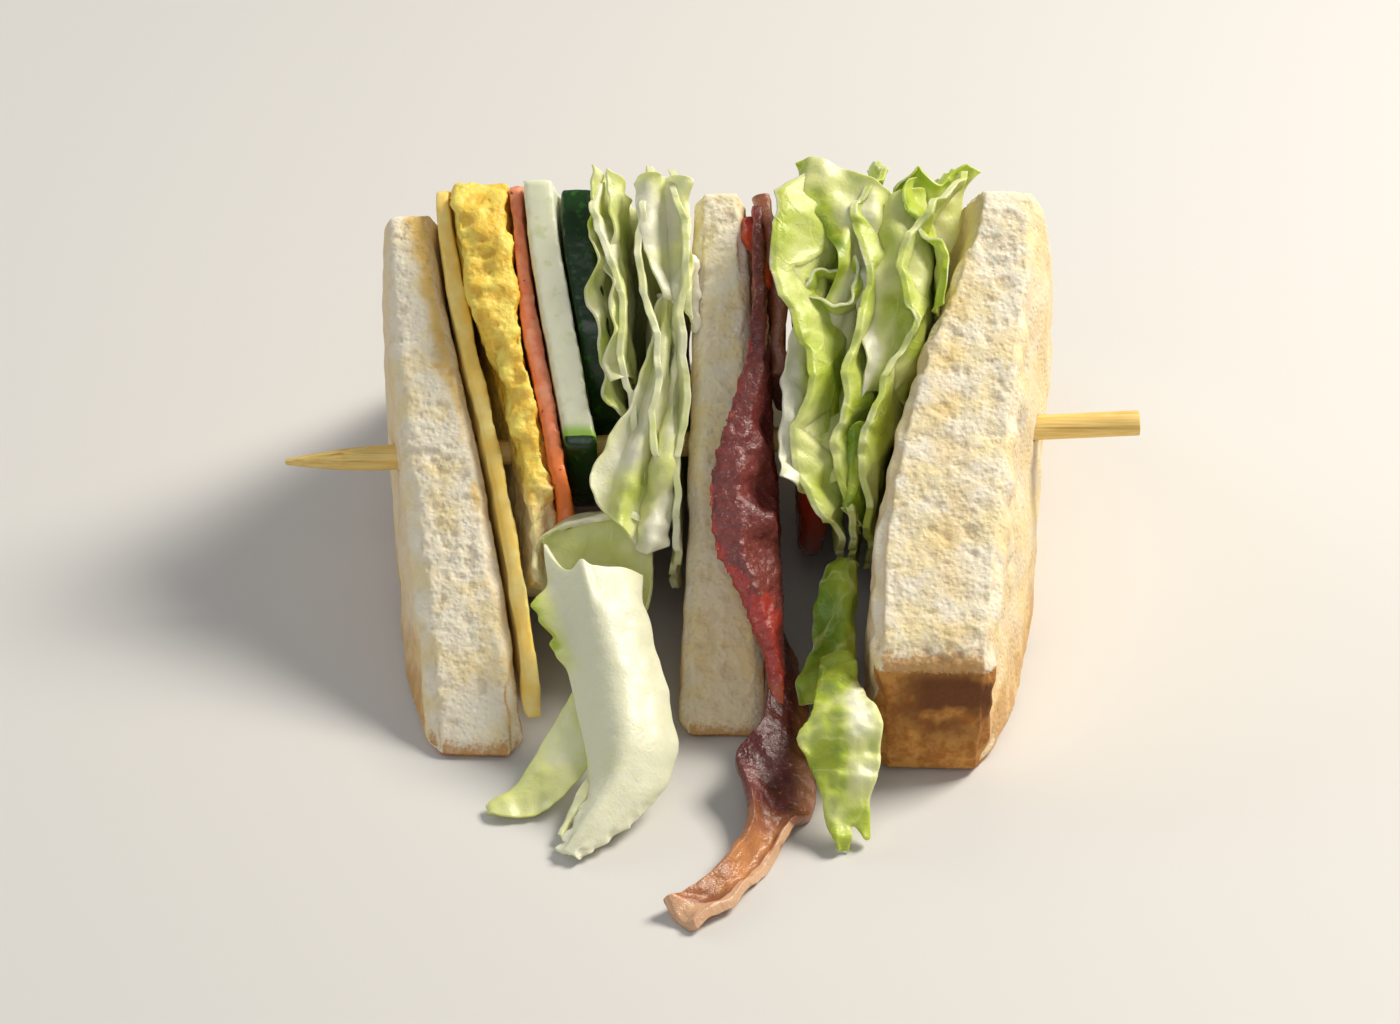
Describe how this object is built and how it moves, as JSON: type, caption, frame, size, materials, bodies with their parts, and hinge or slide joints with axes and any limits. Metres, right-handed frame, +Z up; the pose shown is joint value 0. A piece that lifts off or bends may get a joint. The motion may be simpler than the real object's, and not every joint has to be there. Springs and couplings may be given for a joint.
{
  "type": "club sandwich quarter",
  "caption": "Wedge of a toasted club sandwich pinned with a bamboo stick, standing on its crust with egg, ham, salad and bacon layers showing.",
  "frame": {"origin": "middle of the middle toast's crust side, on the surface that the piece stands on", "axes": "+X across the layers from the cheese side to the bacon side, +Y along the crust away from the hanging lettuce, +Z up to the ridge between the two cut faces"},
  "size_m": [0.1016, 0.1276, 0.0519],
  "materials": {
    "toast": "open cream crumb with a thin tan to brown crust",
    "cheese": "smooth waxy yellow slice",
    "omelette": "soft porous egg, yellow with paler edges",
    "ham": "moist salmon pink with small dark specks",
    "cucumber": "wet pale flesh with a dark green skin",
    "lettuce": "crisp, pale at the rib and green at the edge",
    "lettuce_rib": "thick white translucent rib with yellow-green frills",
    "bacon": "cooked, dark red meat with tan streaks of fat, greasy",
    "tomato": "wet red slice",
    "bamboo": "bare straw-coloured bamboo"
  },
  "bodies": {
    "root": {"bread_left": "toast", "cheese": "cheese", "omelette": "omelette", "ham": "ham", "cucumber_a": "cucumber", "cucumber_b": "cucumber", "lettuce_inner_a": "lettuce", "lettuce_inner_b": "lettuce", "lettuce_inner_c": "lettuce", "lettuce_hanging": "lettuce_rib", "bread_middle": "toast", "bacon_a": "bacon", "bacon_b": "bacon", "tomato": "tomato", "lettuce_outer_a": "lettuce", "lettuce_outer_b": "lettuce", "lettuce_outer_c": "lettuce", "lettuce_tip": "lettuce", "bread_right": "toast", "skewer": "bamboo"}
  },
  "joints": []
}
